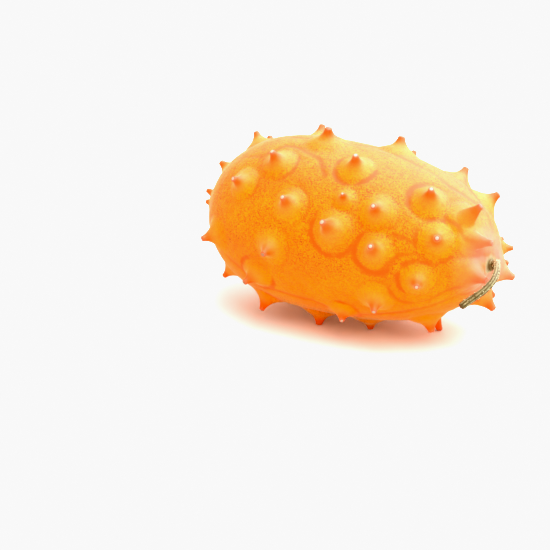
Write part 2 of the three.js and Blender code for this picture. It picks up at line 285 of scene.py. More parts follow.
class Form:
    """The fruit's form from its settings: the bare skin, and the horns that stand on it."""

    def __init__(self, settings):
        self.half_length = millimetres(settings.length) / 2
        self.half_width = millimetres(settings.width) / 2
        self.boss_reach = round(settings.boss_reach, 4)
        self.boss_height = round(settings.boss_height, 4)
        self.foot_radius = round(settings.horn_foot, 4)
        self.tip_radius = round(settings.horn_tip, 4)
        self.horns = [self.horn_at(*place) for row in ROWS.values() for place in row]
        self.horns += [self.foot_at(*place) for place in FEET]
        self.fill_horns(Draw(settings.fill_seed))

    def skin_over(self, ball):
        """Points of the bare skin over points of a unit ball, with the directions out of it."""
        share = np.clip(ball[:, 0], -1, 1)
        taper = 1 - STEM_TAPER * share
        power = np.where(share > 0, STEM_POWER, BLOSSOM_POWER)
        fullness = np.maximum(0, 1 - np.abs(share) ** power)
        outward = unit(ball[:, 1:])
        radius = self.half_width * np.sqrt(fullness) * taper
        point = np.column_stack((share * self.half_length, outward * radius[:, None]))
        end_pull = power * np.abs(share) ** (power - 1) * np.sign(share)
        lengthways = (end_pull + 2 * fullness * STEM_TAPER / taper) / self.half_length
        sideways = 2 * np.sqrt(fullness) / (self.half_width * taper)
        normal = unit(np.column_stack((lengthways, outward * sideways[:, None])))
        return point, normal

    def skin_at(self, station, degrees):
        """The point of the bare skin at a place, and the direction out of it."""
        share, angle = station / self.half_length, math.radians(degrees)
        across = math.sqrt(max(0.0, 1 - share * share))
        ball = np.array([[share, -math.sin(angle) * across, math.cos(angle) * across]])
        point, normal = self.skin_over(ball)
        return point[0], normal[0]

    def horn_at(self, station, degrees, height, lean_along, lean_up, size=None):
        point, normal = self.skin_at(station, degrees)
        angle = math.radians(degrees)
        up = np.array([0, math.cos(angle), math.sin(angle)])
        along = unit(np.cross(up, normal))
        axis = normal * height + along * lean_along + up * lean_up
        ring = RINGS.get((station, degrees)) or ring_over(point)
        pearly = 1 if (station, degrees) in PALE_SCARS else DULL_PEARL * ring[0] / 360
        return Horn(point, normal, axis, min(size or height, LARGEST_SIZE), along, up, ring, pearly)

    def foot_at(self, station, degrees):
        """A horn just tall enough to bite into the floor."""
        point, normal = self.skin_at(station, degrees)
        height = (-REST_HEIGHT - FOOT_BITE - point[2]) / normal[2]
        return self.horn_at(station, degrees, height, 0, 0, FOOT_SIZE)

    def open_place(self, draw):
        """The drawn place farthest from all horns, or None if all are too near one."""
        best, best_gap = None, FILL_GAP
        for _ in range(FILL_TRIES):
            station = (draw() - 0.5) * 2 * self.half_length
            degrees = draw() * 360
            if not any(low < station < high and start < degrees < end
                       for (low, high), (start, end) in FILL_AREAS):
                continue
            point, _normal = self.skin_at(station, degrees)
            gap = min(float(np.linalg.norm(horn.point - point)) for horn in self.horns)
            if gap > best_gap:
                best, best_gap = (station, degrees), gap
        return best

    def fill_horns(self, draw):
        """Adds horns where no row has any, each as far as can be from all before it."""
        least, most = FILL_HEIGHT
        while best := self.open_place(draw):
            height = least + (most - least) * draw()
            lean_along = (draw() - 0.5) * 2 * FILL_LEAN
            lean_up = (draw() - 0.5) * 2 * FILL_LEAN
            point, normal = self.skin_at(*best)
            room = REST_HEIGHT - FLOOR_CLEARANCE + point[2] - abs(lean_up)
            tallest = room / -normal[2] if normal[2] < 0 else most
            self.horns.append(self.horn_at(*best, min(height, tallest), lean_along, lean_up))

    def boss_share(self, point, horn):
        """How far points are from a horn's middle: 1 is the edge of its boss."""
        return np.linalg.norm(point - horn.point, axis=1) / (self.boss_reach * horn.size)

    def boss_rise(self, share, horn):
        """A boss's height over the skin at a share of the way out to its edge."""
        return self.boss_height * horn.size * (1 - share ** 3) ** 2

    def nearest_boss(self, point):
        """At each point, the share of the way out on the nearest boss, and that one's ring."""
        boss, ring = np.full(len(point), FARTHEST["boss"]), np.zeros(len(point))
        for horn in self.horns:
            share = self.boss_share(point, horn)
            ring = np.where(share < boss, ring_strength(point, horn), ring)
            boss = np.minimum(boss, share)
        return boss, ring

    def lift(self, point):
        """How far the bosses raise the skin. Bosses that meet run into each other smoothly."""
        total = np.zeros(len(point))
        for horn in self.horns:
            total += self.boss_rise(np.minimum(self.boss_share(point, horn), 1), horn) ** BOSS_MERGE
        return total ** (1 / BOSS_MERGE)

    def apron(self, horn):
        """The radius inside which a horn shapes the skin, clear of its neighbours' own."""
        gaps = [float(np.linalg.norm(other.point - horn.point)) for other in self.horns
                if other is not horn]
        return min(APRON_REACH * horn.size, min(gaps) / 2)

    def horn_profile(self, horn):
        """The horn's side from the middle of its tip down to its apron's edge: radii and levels."""
        size, length = horn.size, float(np.linalg.norm(horn.axis))
        tip, foot = self.tip_radius * size, HORN_FOOT * size
        spread = self.foot_radius * size - tip
        shoulder = foot + (length - foot) * HORN_SHOULDER

        cap_points, side_points, apron_points = OUTLINE_POINTS
        turn = np.linspace(0, math.pi / 2, cap_points)
        cap_radius = tip * np.sin(turn) ** TIP_SQUARENESS
        cap_level = shoulder + (length - shoulder) * np.cos(turn) ** TIP_SQUARENESS
        scar = np.clip(1 - (cap_radius / (SCAR_SHARE * tip)) ** 2, 0, 1)
        cap_level += SCAR_RISE * np.sqrt(scar)

        climb = np.linspace(HORN_SHOULDER, 0, side_points)
        side_radius = tip + spread * (1 - climb) ** HORN_WAIST_POWER
        side_level = foot + (length - foot) * climb
        fall = (length - foot) / (HORN_WAIST_POWER * spread)
        apron_radius = np.linspace(self.foot_radius * size, size, apron_points)
        apron_level = foot - fall * (apron_radius - self.foot_radius * size)

        # The horn runs softly into its boss, and its tip drops by half of that softness.
        radius = np.concatenate((cap_radius, side_radius[1:], apron_radius[1:]))
        level = np.concatenate((cap_level, side_level[1:], apron_level[1:]))
        boss = self.boss_rise(radius / (self.boss_reach * size), horn)
        soft = ROOT_SOFTNESS * size
        level = (level + boss + np.sqrt((level - boss) ** 2 + soft ** 2)) / 2
        level -= soft / 2 * np.clip(1 - np.abs(level - length) / length, 0, 1) ** TIP_DROP_POWER
        inside = radius <= self.apron(horn)
        return radius[inside], level[inside]


def vein_tree(form):
    """A search tree over points along the veins, each strayed a little from its route."""
    noise.seed_set(VEIN_SEED)
    places = []
    for number, route in enumerate(VEINS.values()):
        for (station, degrees), (next_station, next_degrees) in zip(route, route[1:]):
            start, _ = form.skin_at(station, degrees)
            end, _ = form.skin_at(next_station, next_degrees)
            steps = max(2, int(np.linalg.norm(end - start) / VEIN_STEP))
            for share in np.arange(steps) / steps:
                point, normal = form.skin_at(station + (next_station - station) * share,
                                             degrees + (next_degrees - degrees) * share)
                sample = Vector(point) / VEIN_BEND + Vector((number * VEIN_LAYER, 0, 0))
                stray = Vector(noise.noise_vector(sample)) * VEIN_WANDER
                places.append(Vector(point) + stray - Vector(normal) * stray.dot(Vector(normal)))
    tree = KDTree(len(places))
    for index, place in enumerate(places):
        tree.insert(place, index)
    tree.balance()
    return tree


def bumps(places, kinds):
    """The height at each place of bumps of the given kinds: depth and width."""
    return np.array([sum(depth * noise.noise(Vector(place) / width) for depth, width in kinds)
                     for place in places])


def ball_points(bm):
    return unit(np.array([vert.co for vert in bm.verts], float))


def refine(bm, form, horn_reach, seat_reach):
    """Splits the triangles near the horns and near the stalk's seat."""
    point, _ = form.skin_over(ball_points(bm))
    near = np.linalg.norm(point - np.array([SEAT_FLOOR, *SEAT[1:]]), axis=1) < seat_reach
    for horn in form.horns:
        near |= np.linalg.norm(point - horn.point, axis=1) < horn.size * horn_reach
    bm.verts.ensure_lookup_table()
    edges = [edge for edge in bm.edges if near[edge.verts[0].index] and near[edge.verts[1].index]]
    bmesh.ops.subdivide_edges(bm, edges=edges, cuts=1)
    bmesh.ops.triangulate(bm, faces=[face for face in bm.faces if len(face.verts) > 3])
    bm.verts.index_update()


def draw_horn(form, horn, bare, ball):
    """Draws the ball's points under a horn together, so that its side gets enough faces.

    Returns which points these are, their places on the horn, and what is read there."""
    edge = form.apron(horn)
    away = np.linalg.norm(bare - horn.point, axis=1)
    inside = np.flatnonzero(away < edge)
    away = away[inside]
    radius, level = form.horn_profile(horn)
    run = np.concatenate(([0], np.cumsum(np.hypot(np.diff(radius), np.diff(level)))))
    share = away / edge
    reach = away + (run[-1] - edge) * share * (2 - share)
    wanted = np.interp(reach, run, radius)
    height = np.interp(reach, run, level)

    share_along = horn.point[0] / form.half_length
    ring = math.sqrt(max(0.0, 1 - share_along ** 2)) * unit(horn.point[1:])
    centre = np.array([share_along, *ring])
    pull = wanted / np.maximum(away, TINY)
    for _ in range(PULL_ROUNDS):
        drawn = unit(centre + (ball[inside] - centre) * pull[:, None])
        moved, _normal = form.skin_over(drawn)
        now = np.linalg.norm(moved - horn.point, axis=1)
        pull *= np.where(now > SAME_SPOT, wanted / np.maximum(now, SAME_SPOT), 1)
    ball[inside] = drawn

    # The rings lie along the skin at its foot and square to its axis at its tip.
    length = float(np.linalg.norm(horn.axis))
    direction = horn.axis / length
    lean = np.clip(height / length, 0, 1)[:, None]
    facing = unit(horn.normal + (direction - horn.normal) * lean)
    offset = moved - horn.point
    sideways = unit(offset - (offset * facing).sum(axis=1, keepdims=True) * facing)
    place = horn.point + direction * height[:, None] + sideways * wanted[:, None]
    start = HORN_START * horn.size
    return inside, place, {
        "on_horn": 1 - smooth_step(wanted, APRON_EDGE[0] * edge, APRON_EDGE[1] * edge),
        "horn_rise": np.clip((height - start) / (length - start), 0, 1),
        "tip_share": wanted / (form.tip_radius * horn.size),
        "pearly": horn.pearly,
    }


def settle(place):
    from_seat = np.hypot(place[:, 1] - SEAT[1], place[:, 2] - SEAT[2])
    share = smooth_step(from_seat, SEAT_PIT[1], SEAT_PIT[0]) * (place[:, 0] >= STEM_END)
    place[:, 0] += (np.minimum(place[:, 0], SEAT_FLOOR) - place[:, 0]) * share
    place[:, 2] = np.maximum(place[:, 2], -REST_HEIGHT)


def shape_fruit(form):
    """A ball drawn out to the fruit's shape. Returns its bmesh and what the rind's material reads."""
    bm = bmesh.new()
    bmesh.ops.create_icosphere(bm, subdivisions=7, radius=1)
    for horn_reach, seat_reach in SPLITS:
        refine(bm, form, horn_reach, seat_reach)

    ball = ball_points(bm)
    bare, _ = form.skin_over(ball)
    count = len(ball)
    horn_place = np.zeros((count, 3))
    on_horn = np.zeros(count)  # 1 where a horn alone gives the shape
    readings = {
        "on_horn": on_horn,
        "horn_rise": np.zeros(count),  # 0 at the horn's foot and 1 at its tip
        "tip_share": np.full(count, FARTHEST["tip"]),  # from the horn's axis, in radii of its tip
        "pearly": np.zeros(count),
    }
    for horn in form.horns:
        inside, place, drawn = draw_horn(form, horn, bare, ball)
        horn_place[inside] = place
        for name, values in drawn.items():
            readings[name][inside] = values
    del readings["on_horn"]

    skin, normal = form.skin_over(ball)
    boss, ring = form.nearest_boss(skin)
    tree = vein_tree(form)
    vein = np.array([min(tree.find(Vector(spot))[2], FARTHEST["vein"]) for spot in skin])

    # The bosses, the furrows under the rings and veins, and the unevenness of anything grown.
    ring_line = ring * np.exp(-((boss - 1) * RING_SHARPNESS) ** 2)
    vein_line = np.exp(-(vein / FURROW_WIDTH) ** 2)
    height = form.lift(skin) - FURROW_DEPTH * np.maximum(ring_line, vein_line) + bumps(skin, SWELLS)
    base = skin + normal * height[:, None]
    place = base + (horn_place - base) * on_horn[:, None]
    place += normal * (bumps(place, RIPPLES) * (1 - HORN_RIPPLE * on_horn))[:, None]
    settle(place)

    for vert, spot in zip(bm.verts, place):
        vert.co = spot
    from_seat = np.linalg.norm(place - np.array(SEAT), axis=1)
    readings["tip_share"] = np.minimum(readings["tip_share"], FARTHEST["tip"])
    readings["seat_distance"] = np.minimum(from_seat, FARTHEST["seat"])
    readings.update(boss_share=boss, ring_strength=ring, vein_distance=vein)
    return bm, readings


def make_object(bm, name, material):
    """Turns a bmesh into an object of one material, and returns it."""
    mesh = bpy.data.meshes.new(name)
    bm.to_mesh(mesh)
    bm.free()
    mesh.materials.append(material)
    made = bpy.data.objects.new(name, mesh)
    bpy.context.scene.collection.objects.link(made)
    return made


def finish_piece(bm, name, material, readings):
    """Turns a bmesh in the fruit's frame into a finished piece in its place, and returns it."""
    bmesh.ops.transform(bm, matrix=Matrix.Scale(MM, 4) @ Matrix.Translation(FRUIT_CENTRE),
                        verts=bm.verts)
    piece = make_object(bm, name, material)
    for reading_name, values in readings.items():
        attribute = piece.data.attributes.new(reading_name, "FLOAT", "POINT")
        attribute.data.foreach_set("value", np.asarray(values, np.float32))
    piece.data.shade_smooth()
    return piece


# ---- materials

# What a colour lies over is written as the reading where it starts, the one where it is full, and its
# strength at each if that isn't 0 and 1. The distances from a vein and the seat are in millimetres,
# and all other lengths are in metres.
NOISE_MIDDLE = 0.5
GRAIN_DEPTH = 0.00025

FLOOR_TO_CREST = (0.004, 0.074)
GOLD_BY_HEIGHT = (0.05, 0.54)  # gained from floor to crest, and what is there at the floor
GOLD_IN_CLOUDS = 1.1
GOLD_ON_BOSS = (1.0, 0.75, 0.0, 0.1)
SPECKS_OFF_BOSS = (0.45, 1.0, 0.5, 1.0)
SPECKS_IN_PATCHES = (0.3, 0.7, 0.75, 1.0)
SPECKS_BY_HEIGHT = (0.15, 0.5, 0.65, 1.0)
# Painted highlight: the pink tint on the upper part of each boss.
HIGHLIGHT_TINT_ON_BOSS = (0.7, 0.25, 0.0, 0.28)
RING_WIDTH = (0.24, 0.03)  # gained with the ring's strength, and what it has without
RING_SHOWS = (0.02, 0.7)
VEIN_SHOWS = 0.8
MARKS_SHOW = 0.95
HORNS_AT_STEM = (0.054, 0.066)
HORN_SIDE = (0.06, 0.58, 0.0, 0.9)
HORN_TIP = (0.62, 0.98, 0.0, 0.85)
HORN_TOP = (0.9, 0.97)
RIM_INSIDE = (0.95, 0.75)
RIM_SHOWS = 0.35
SCAR_INSIDE = (SCAR_SHARE + 0.04, SCAR_SHARE - 0.12)
FLUSH_BY_SEAT = (19.0, 6.0)
FLUSH_IN_CLOUDS = (0.35, 0.6, 0.5, 1.0)
PALE_BY_SEAT = (6.2, 4.4)
PALE_FRAY = 3.0
RIND_ROUGHNESS = 0.52
SPECK_ROUGHNESS = 0.06  # more than the rind's
SCAR_ROUGHNESS = -0.18

STALK_RIDGE = (-0.7, 0.8)
PITS_SHOW = 0.8
WART_TOP = (0.4, 0.9)
# Painted highlight: the stalk's first part, along its arch, is mixed towards the warts' pale colour.
PAINTED_STALK_HIGHLIGHT = (0.55, 0.15, 0.0, 0.25)
FUZZ_TO_ROOT = (0.02, 0.06)
ROOT_TO_STALK = (0.19, 0.12)
BROWN_END = (0.955, 0.99, 0.0, 0.8)


def feed(tree, socket, value):
    """Gives a socket a value, or a link from another."""
    if isinstance(value, bpy.types.NodeSocket):
        tree.links.new(value, socket)
    else:
        socket.default_value = value


def set_inputs(tree, node, **inputs):
    for name, value in inputs.items():
        feed(tree, node.inputs[name.replace("_", " ")], value)


def add_node(tree, kind, options=None, **inputs):
    """Adds a node with its options, and gives each named input a value or a link."""
    node = tree.nodes.new(kind)
    for option, value in (options or {}).items():
        setattr(node, option, value)
    set_inputs(tree, node, **inputs)
    return node


def reading(tree, name):
    return add_node(tree, "ShaderNodeAttribute", {"attribute_name": name}).outputs["Fac"]


def calculate(tree, operation, *values):
    node = add_node(tree, "ShaderNodeMath", {"operation": operation})
    for socket, value in zip(node.inputs, values):
        feed(tree, socket, value)
    return node.outputs[0]


def times(tree, first, *others):
    """The product of numbers and numbers from nodes."""
    for value in others:
        first = calculate(tree, "MULTIPLY", first, value)
    return first


def ramp(tree, value, low, high, start=0.0, end=1.0):
    """A smooth change from start to end as the value goes from low to high."""
    node = add_node(tree, "ShaderNodeMapRange", {"interpolation_type": "SMOOTHSTEP"},
                    Value=value, From_Min=low, From_Max=high, To_Min=start, To_Max=end)
    return node.outputs["Result"]


def mix(tree, share, first, second):
    """Mixes two colours, each from a node or as it is picked on screen."""
    node = add_node(tree, "ShaderNodeMix", {"data_type": "RGBA"})
    share_socket, first_socket, second_socket = (node.inputs[number] for number in (0, 6, 7))
    feed(tree, share_socket, share)
    for socket, colour in ((first_socket, first), (second_socket, second)):
        feed(tree, socket, colour if isinstance(colour, bpy.types.NodeSocket) else linear(colour))
    return node.outputs[2]


def noise_at(tree, place, scale, detail=2.0, distortion=0.0):
    node = add_node(tree, "ShaderNodeTexNoise", Vector=place, Scale=scale, Detail=detail,
                    Distortion=distortion)
    return node.outputs["Fac"]


def axis_share(tree, place, axis, low, high):
    parts = add_node(tree, "ShaderNodeSeparateXYZ", Vector=place)
    return ramp(tree, parts.outputs[axis], low, high)


def new_group(name, output, **inputs):
    """A shader node group of one output, with a place and number inputs. Returns its parts."""
    tree = bpy.data.node_groups.new(name, "ShaderNodeTree")
    tree.interface.new_socket(name="Place", in_out="INPUT", socket_type="NodeSocketVector")
    for socket, default in inputs.items():
        made = tree.interface.new_socket(name=socket.replace("_", " "), in_out="INPUT",
                                         socket_type="NodeSocketFloat")
        made.default_value = default
    tree.interface.new_socket(name=output, in_out="OUTPUT", socket_type="NodeSocketFloat")
    return tree, tree.nodes.new("NodeGroupInput").outputs, tree.nodes.new("NodeGroupOutput").inputs[0]


def speckle_group(name):
    """Fine crooked specks, as of pigment under a skin."""
    tree, given, made = new_group(name, "Specks", Per_Metre=1000.0, Cover=0.5, Softness=0.1)
    grain = noise_at(tree, given["Place"], given["Per Metre"], detail=1.5, distortion=1.2)
    low = calculate(tree, "SUBTRACT", given["Cover"], given["Softness"])
    high = calculate(tree, "ADD", given["Cover"], given["Softness"])
    tree.links.new(ramp(tree, grain, high, low), made)
    return tree


def band_group(name):
    """A line of uneven width with gaps in it, wherever the distance to its middle is near 0."""
    finer, gap_softness, least_width, core = 4.0, 0.24, 0.0001, 0.2
    tree, given, made = new_group(name, "Band", Distance=0.0, Half_Width=1.0, Wander=0.3, Gaps=0.4,
                                  Per_Metre=90.0)
    fine = times(tree, given["Per Metre"], finer)
    wander = noise_at(tree, given["Place"], fine, detail=1.0)
    wander = calculate(tree, "SUBTRACT", wander, NOISE_MIDDLE)
    strayed = calculate(tree, "MULTIPLY_ADD", wander, given["Wander"], given["Distance"])
    away = calculate(tree, "ABSOLUTE", strayed)
    presence = noise_at(tree, given["Place"], given["Per Metre"], detail=1.0)
    share = ramp(tree, presence, given["Gaps"], calculate(tree, "ADD", given["Gaps"], gap_softness))
    width = times(tree, given["Half Width"], share)
    width = calculate(tree, "ADD", width, least_width)
    band = ramp(tree, away, width, times(tree, width, core))
    tree.links.new(times(tree, band, share), made)
    return tree


def grain_group(name):
    finer = 3.4
    tree, given, made = new_group(name, "Height", Per_Metre=500.0, Fine=0.4)
    coarse = noise_at(tree, given["Place"], given["Per Metre"], detail=1.0)
    scale = times(tree, given["Per Metre"], finer)
    fine = noise_at(tree, given["Place"], scale, detail=1.0)
    tree.links.new(calculate(tree, "MULTIPLY_ADD", fine, given["Fine"], coarse), made)
    return tree


GROUPS = {"Fine Specks": speckle_group, "Broken Band": band_group, "Grown Grain": grain_group}


def use_group(tree, name, place, **inputs):
    """Adds a shared group, which is built the first time. Returns its output."""
    group = bpy.data.node_groups.get(name) or GROUPS[name](name)
    node = add_node(tree, "ShaderNodeGroup", {"node_tree": group}, Place=place, **inputs)
    return node.outputs[0]


def new_material(name):
    """An empty material. Returns it with its node tree, its shader and the place on the piece."""
    material = bpy.data.materials.new(name)
    material.use_nodes = True
    tree = material.node_tree
    tree.nodes.clear()
    shader = tree.nodes.new("ShaderNodeBsdfPrincipled")
    add_node(tree, "ShaderNodeOutputMaterial", Surface=shader.outputs[0])
    place = tree.nodes.new("ShaderNodeTexCoord").outputs["Object"]
    return material, tree, shader, place


def add_grain(tree, shader, place, strength, **grain):
    """Gives a shader the small relief of a grown surface."""
    relief = use_group(tree, "Grown Grain", place, **grain)
    bump = add_node(tree, "ShaderNodeBump", Strength=strength, Distance=GRAIN_DEPTH, Height=relief)
    set_inputs(tree, shader, Normal=bump.outputs["Normal"])


def rind_material(look):
    """The waxy rind: mottled yellow to orange, specked, ringed and veined, with salmon horns."""
    material, tree, shader, place = new_material("Melon_Rind")
    boss, ring = reading(tree, "boss_share"), reading(tree, "ring_strength")
    rise, tip = reading(tree, "horn_rise"), reading(tree, "tip_share")
    vein, seat = reading(tree, "vein_distance"), reading(tree, "seat_distance")

    # Ground colour: golden in soft clouds, and more so high up and on the bosses.
    clouds = noise_at(tree, place, 75.0, detail=3.0)
    height = axis_share(tree, place, "Z", *FLOOR_TO_CREST)
    gold = calculate(tree, "MULTIPLY_ADD", height, *GOLD_BY_HEIGHT)
    cloud = calculate(tree, "SUBTRACT", clouds, NOISE_MIDDLE)
    gold = calculate(tree, "MULTIPLY_ADD", cloud, GOLD_IN_CLOUDS, gold)
    gold = calculate(tree, "ADD", gold, ramp(tree, boss, *GOLD_ON_BOSS))
    colour = mix(tree, ramp(tree, gold, 0.0, 1.0), look.orange, look.yellow)

    # Specks, fainter inside the bosses and low down.
    fine = use_group(tree, "Fine Specks", place, Per_Metre=1750.0, Cover=0.49, Softness=0.05)
    share = times(tree, fine, ramp(tree, boss, *SPECKS_OFF_BOSS), ramp(tree, height, *SPECKS_BY_HEIGHT),
                  ramp(tree, noise_at(tree, place, 160.0), *SPECKS_IN_PATCHES))
    colour = mix(tree, share, colour, look.specks)

    # Painted highlight: a pink tint all round the upper part of each boss, which makes the highlights on
    # the bosses' lit sides pinkish.
    colour = mix(tree, ramp(tree, boss, *HIGHLIGHT_TINT_ON_BOSS), colour, look.highlight_tint)

    # Rings round the bosses, and veins between them.
    from_ring = calculate(tree, "SUBTRACT", boss, 1.0)
    width = calculate(tree, "MULTIPLY_ADD", ring, *RING_WIDTH)
    hoop = use_group(tree, "Broken Band", place, Distance=from_ring, Half_Width=width, Wander=0.2,
                     Gaps=0.26, Per_Metre=130.0)
    hoop = times(tree, hoop, ramp(tree, ring, *RING_SHOWS))
    line = use_group(tree, "Broken Band", place, Distance=vein, Half_Width=1.5, Wander=0.9, Gaps=0.26,
                     Per_Metre=60.0)
    marks = calculate(tree, "MAXIMUM", hoop, times(tree, line, VEIN_SHOWS))
    colour = mix(tree, times(tree, marks, MARKS_SHOW), colour, look.rings)

    # Horns: deeper orange up the side, salmon at the tip and all over near the stem end, and the scar
    # inside a dark rim.
    at_stem = axis_share(tree, place, "X", *HORNS_AT_STEM)
    sides = mix(tree, at_stem, look.horns, look.stem_horns)
    colour = mix(tree, ramp(tree, rise, *HORN_SIDE), colour, sides)
    colour = mix(tree, ramp(tree, rise, *HORN_TIP), colour, look.tips)
    at_top = ramp(tree, rise, *HORN_TOP)
    rim = times(tree, ramp(tree, tip, *RIM_INSIDE), at_top, RIM_SHOWS)
    colour = mix(tree, rim, colour, look.rims)
    scar = times(tree, ramp(tree, tip, *SCAR_INSIDE), at_top)
    scars = mix(tree, reading(tree, "pearly"), look.dull_scars, look.scars)
    colour = mix(tree, scar, colour, scars)

    # Round the stalk: a pink flush, then a pale patch with a frayed edge.
    flush = times(tree, ramp(tree, seat, *FLUSH_BY_SEAT), ramp(tree, clouds, *FLUSH_IN_CLOUDS))
    colour = mix(tree, flush, colour, look.flush)
    frayed = calculate(tree, "MULTIPLY_ADD", noise_at(tree, place, 420.0), PALE_FRAY, seat)
    colour = mix(tree, ramp(tree, frayed, *PALE_BY_SEAT), colour, look.pale)

    rough = calculate(tree, "MULTIPLY_ADD", fine, SPECK_ROUGHNESS, RIND_ROUGHNESS)
    rough = calculate(tree, "MULTIPLY_ADD", scar, SCAR_ROUGHNESS, rough)
    add_grain(tree, shader, place, 0.35, Per_Metre=560.0, Fine=0.35)
    set_inputs(tree, shader, Base_Color=colour, Roughness=rough, IOR=1.45,
               Sheen_Weight=0.4, Sheen_Roughness=0.35, Sheen_Tint=(1.0, 0.97, 0.75, 1.0),
               Subsurface_Weight=0.25, Subsurface_Radius=(1.0, 0.4, 0.12), Subsurface_Scale=0.003)
    return material


def stalk_material(look):
    """Dry ridged stalk: olive in the furrows, straw on the ridges, specked, with a painted highlight on
    its arch, and brown where cut.
    """
    material, tree, shader, place = new_material("Melon_Stalk")
    along = reading(tree, "along")
    ridge = ramp(tree, reading(tree, "ridge"), *STALK_RIDGE)
    colour = mix(tree, ridge, look.furrows, look.ridges)
    pits = use_group(tree, "Fine Specks", place, Per_Metre=900.0, Cover=0.42, Softness=0.06)
    colour = mix(tree, times(tree, pits, PITS_SHOW), colour, look.pits)
    colour = mix(tree, ramp(tree, reading(tree, "wart"), *WART_TOP), colour, look.warts_and_highlight)
    # Painted highlight: the arch of the stalk is paled with the warts' colour, as if lit.
    colour = mix(tree, ramp(tree, along, *PAINTED_STALK_HIGHLIGHT), colour, look.warts_and_highlight)
    root = mix(tree, ramp(tree, along, *FUZZ_TO_ROOT), look.fuzz, look.furrows)
    colour = mix(tree, ramp(tree, along, *ROOT_TO_STALK), colour, root)
    colour = mix(tree, ramp(tree, along, *BROWN_END), colour, look.cut)
    colour = mix(tree, reading(tree, "cut"), colour, look.cut)
    add_grain(tree, shader, place, 0.5, Per_Metre=900.0, Fine=0.5)
    set_inputs(tree, shader, Base_Color=colour, Roughness=0.75)
    return material


# ---- the stalk's form


def stalk_path():
    """Points along the smooth route from the seat to the cut end."""
    knots = [Vector(place) for place in STALK_ROUTE]
    # A knot's handle is a sixth of the way from the knot before to the one after.
    handles = [(after - before) / 6 for before, after in zip([knots[0], *knots], [*knots[1:], knots[-1]])]
    path = []
    for index, (start, end) in enumerate(zip(knots, knots[1:])):
        path += interpolate_bezier(start, start + handles[index], end - handles[index + 1], end,
                                   STALK_STEPS + 1)[:-1]
    return [*path, knots[-1]]


def stalk_radius(run, total):
    """The stalk's radius at a distance from the seat."""
    collar = float(np.interp(run, *zip(*COLLAR)))
    return collar + CLUB_SWELL * float(smooth_step(run, total - CLUB[0], total - CLUB[1]))


def extrude_ring(bm, edges, angles):
    """Extrudes a ring of edges. Returns the new one's edges, and the angle of each of its points."""
    made = bmesh.ops.extrude_edge_only(bm, edges=edges)["geom"]
    verts = [item for item in made if isinstance(item, bmesh.types.BMVert)]
    edges = [item for item in made if isinstance(item, bmesh.types.BMEdge)
             and set(verts).issuperset(item.verts)]
    return edges, {vert: next(angles[edge.other_vert(vert)] for edge in vert.link_edges
                              if edge.other_vert(vert) in angles) for vert in verts}


def shape_stalk():
    """A ring of edges drawn along the route. Returns its bmesh, sections and layers of readings."""
    path = stalk_path()
    runs = [0.0, *accumulate((after - before).length for before, after in zip(path, path[1:]))]
    total = runs[-1]

    bm = bmesh.new()
    layers = {name: bm.verts.layers.float.new(name) for name in ("ridge", "cut", "along", "wart")}
    first = bmesh.ops.create_circle(bm, segments=STALK_SIDES, radius=1)["verts"]
    edges = bm.edges[:]
    angles = {vert: math.atan2(vert.co.y, vert.co.x) for vert in first}
    tangent = (path[1] - path[0]).normalized()
    side = tangent.orthogonal().normalized()
    sections = []
    for index, (place, run) in enumerate(zip(path, runs)):
        if index:
            edges, angles = extrude_ring(bm, edges, angles)
        ahead = (path[min(index + 1, len(path) - 1)] - path[max(index - 1, 0)]).normalized()
        side = (tangent.rotation_difference(ahead) @ side).normalized()
        tangent = ahead
        section = Section(place, tangent, side, tangent.cross(side), stalk_radius(run, total))
        sections.append(section)
        strength = float(smooth_step(run, *RIDGES_RISE))
        for vert, angle in angles.items():
            ridge = sum(share * math.cos(count * angle + run * twist) for share, count, twist in RIDGES)
            swell = 1 + RIDGE_HEIGHT * ridge * strength
            for (height, around, lengthways, layer), share in zip(LUMPS, (1, 1 - strength)):
                spot = Vector((angle * around, run * lengthways, layer))
                swell += height * share * noise.noise(spot)
            spot = side * math.cos(angle) + section.across * math.sin(angle)
            vert.co = place + spot * section.radius * swell
            vert[layers["ridge"]] = ridge
            vert[layers["along"]] = run / total
    bmesh.ops.holes_fill(bm, edges=[edge for edge in bm.edges if edge.is_boundary], sides=0)
    return bm, sections, layers


def sink_pith(bm, end, layers):
    """Sinks the pith into the stalk's cut end."""
    caps = [face for face in bm.faces if len(face.verts) == STALK_SIDES]
    cap = min(caps, key=lambda face: (face.calc_center_median() - end).length)
    for vert in cap.verts:
        vert[layers["cut"]] = RIM_BROWN
    for width, depth in PITH:
        bmesh.ops.inset_region(bm, faces=[cap], thickness=width, depth=depth)
    for vert in cap.verts:
        vert[layers["cut"]] = 1.0


def spots_on(sections, draw, count, start, end):
    """Drawn places on the stalk: the share of the way along, the section, and the direction out."""
    last = len(sections) - 1
    for _ in range(count):
        index = int(draw(start, end) * last)
        section = sections[index]
        angle = draw(0, 2 * math.pi)
        yield index / last, section, section.side * math.cos(angle) + section.across * math.sin(angle)


def add_spike(bm, layers, root, direction, length, radius, **readings):
    """A small blunt spike on the stalk."""
    turn = Vector((0, 0, 1)).rotation_difference(direction).to_matrix().to_4x4()
    matrix = Matrix.Translation(root + direction * length * SPIKE_MIDDLE) @ turn
    made = bmesh.ops.create_cone(bm, cap_ends=True, segments=SPIKE_SIDES, radius1=radius,
                                 radius2=radius * SPIKE_TAPER, depth=length, matrix=matrix)["verts"]
    for vert in made:
        for name, value in readings.items():
            vert[layers[name]] = value


